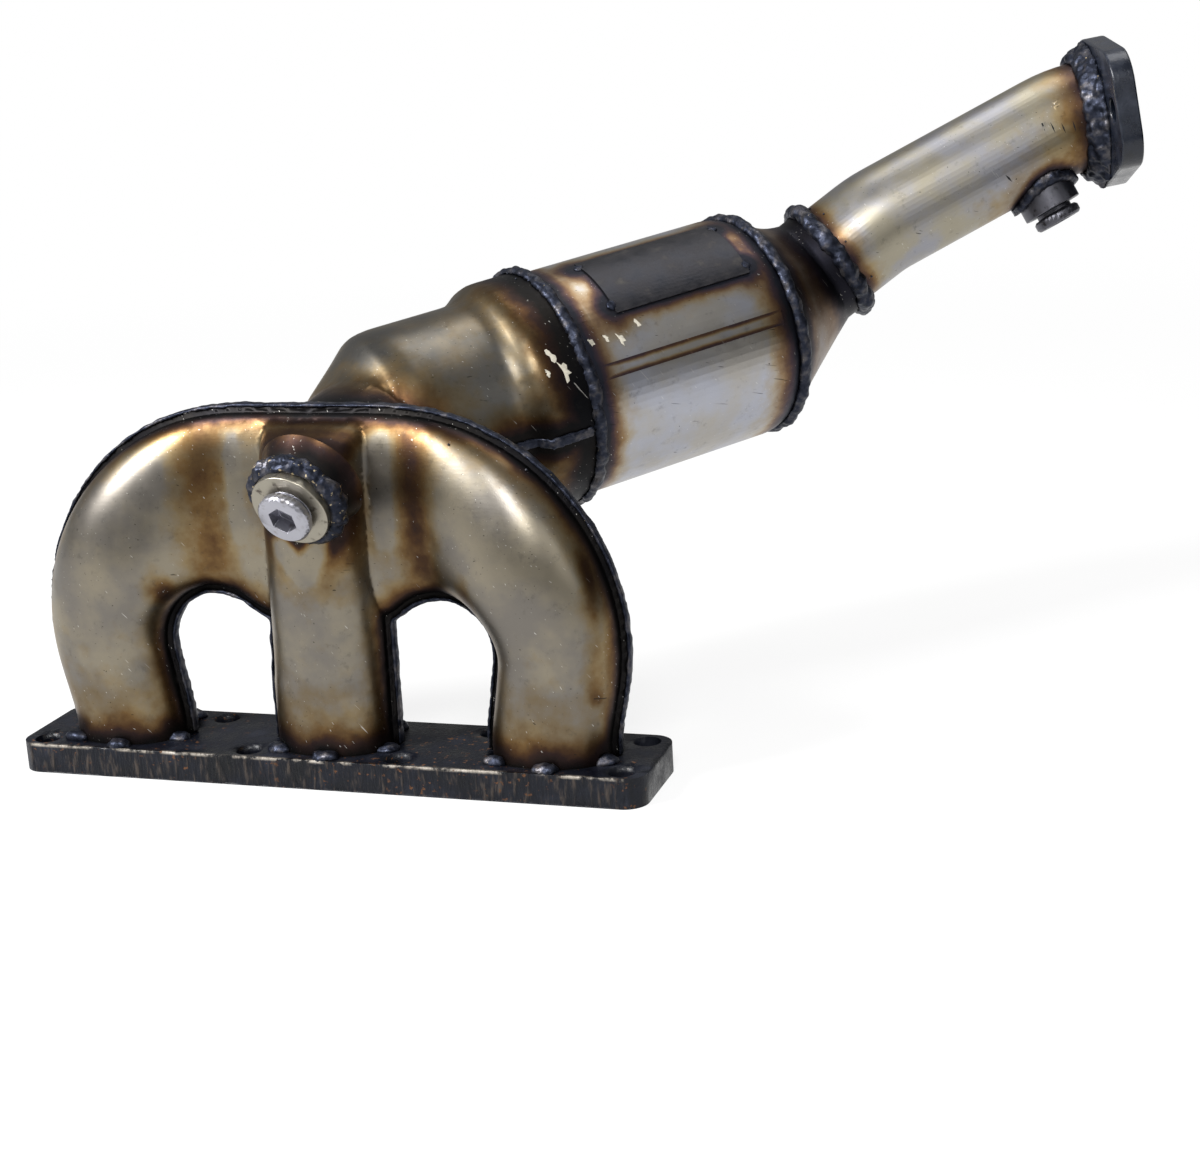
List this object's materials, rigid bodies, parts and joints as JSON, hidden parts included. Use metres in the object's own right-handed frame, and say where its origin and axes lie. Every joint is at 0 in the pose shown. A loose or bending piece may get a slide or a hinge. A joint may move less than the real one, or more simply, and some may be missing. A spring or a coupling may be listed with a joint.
{
  "type": "catalytic converter",
  "caption": "Stamped multi-runner exhaust manifold with a close-coupled catalytic converter, bent outlet pipe, two-bolt outlet flange and plugged sensor bosses.",
  "frame": {"origin": "centre of the head flange's sealing face", "axes": "+X along the head flange, +Z out of the flange towards the collector, +Y towards the converter's side"},
  "size_m": [0.4278, 0.3665, 0.2633],
  "materials": {
    "stainless": "satin stainless sheet with heat tint",
    "weld_metal": "dark oxidised weld bead",
    "blackened_steel": "black oiled steel plate",
    "plug_steel": "machined steel",
    "data_plate": "dark stamped sheet",
    "fibre_mat": "ceramic fibre mat",
    "ceramic_brick": "matt honeycomb ceramic"
  },
  "bodies": {
    "root": {"can_seam_weld": "stainless", "catalyst_monolith": "ceramic_brick", "collector_joint_weld": "weld_metal", "converter_can": "stainless", "data_plate": "data_plate", "data_plate_tack_welds": "weld_metal", "front_boss_weld": "weld_metal", "front_sensor_boss": "plug_steel", "front_sensor_plug": "plug_steel", "head_flange": "blackened_steel", "inlet_front_seam_weld": "weld_metal", "inlet_lower_shell": "stainless", "inlet_rear_seam_weld": "weld_metal", "inlet_ring_weld": "weld_metal", "inlet_upper_shell": "stainless", "left_runner_tack_welds": "weld_metal", "left_window_seam_weld": "weld_metal", "manifold_front_shell": "stainless", "manifold_rear_shell": "stainless", "middle_runner_tack_welds": "weld_metal", "neck_weld": "weld_metal", "outer_seam_weld": "weld_metal", "outlet_cone": "stainless", "outlet_flange": "blackened_steel", "outlet_flange_weld": "weld_metal", "outlet_pipe": "stainless", "outlet_ring_weld": "weld_metal", "rear_boss_weld": "weld_metal", "rear_sensor_boss": "plug_steel", "rear_sensor_plug": "plug_steel", "right_runner_tack_welds": "weld_metal", "right_window_seam_weld": "weld_metal", "support_mat": "fibre_mat"}
  },
  "joints": []
}
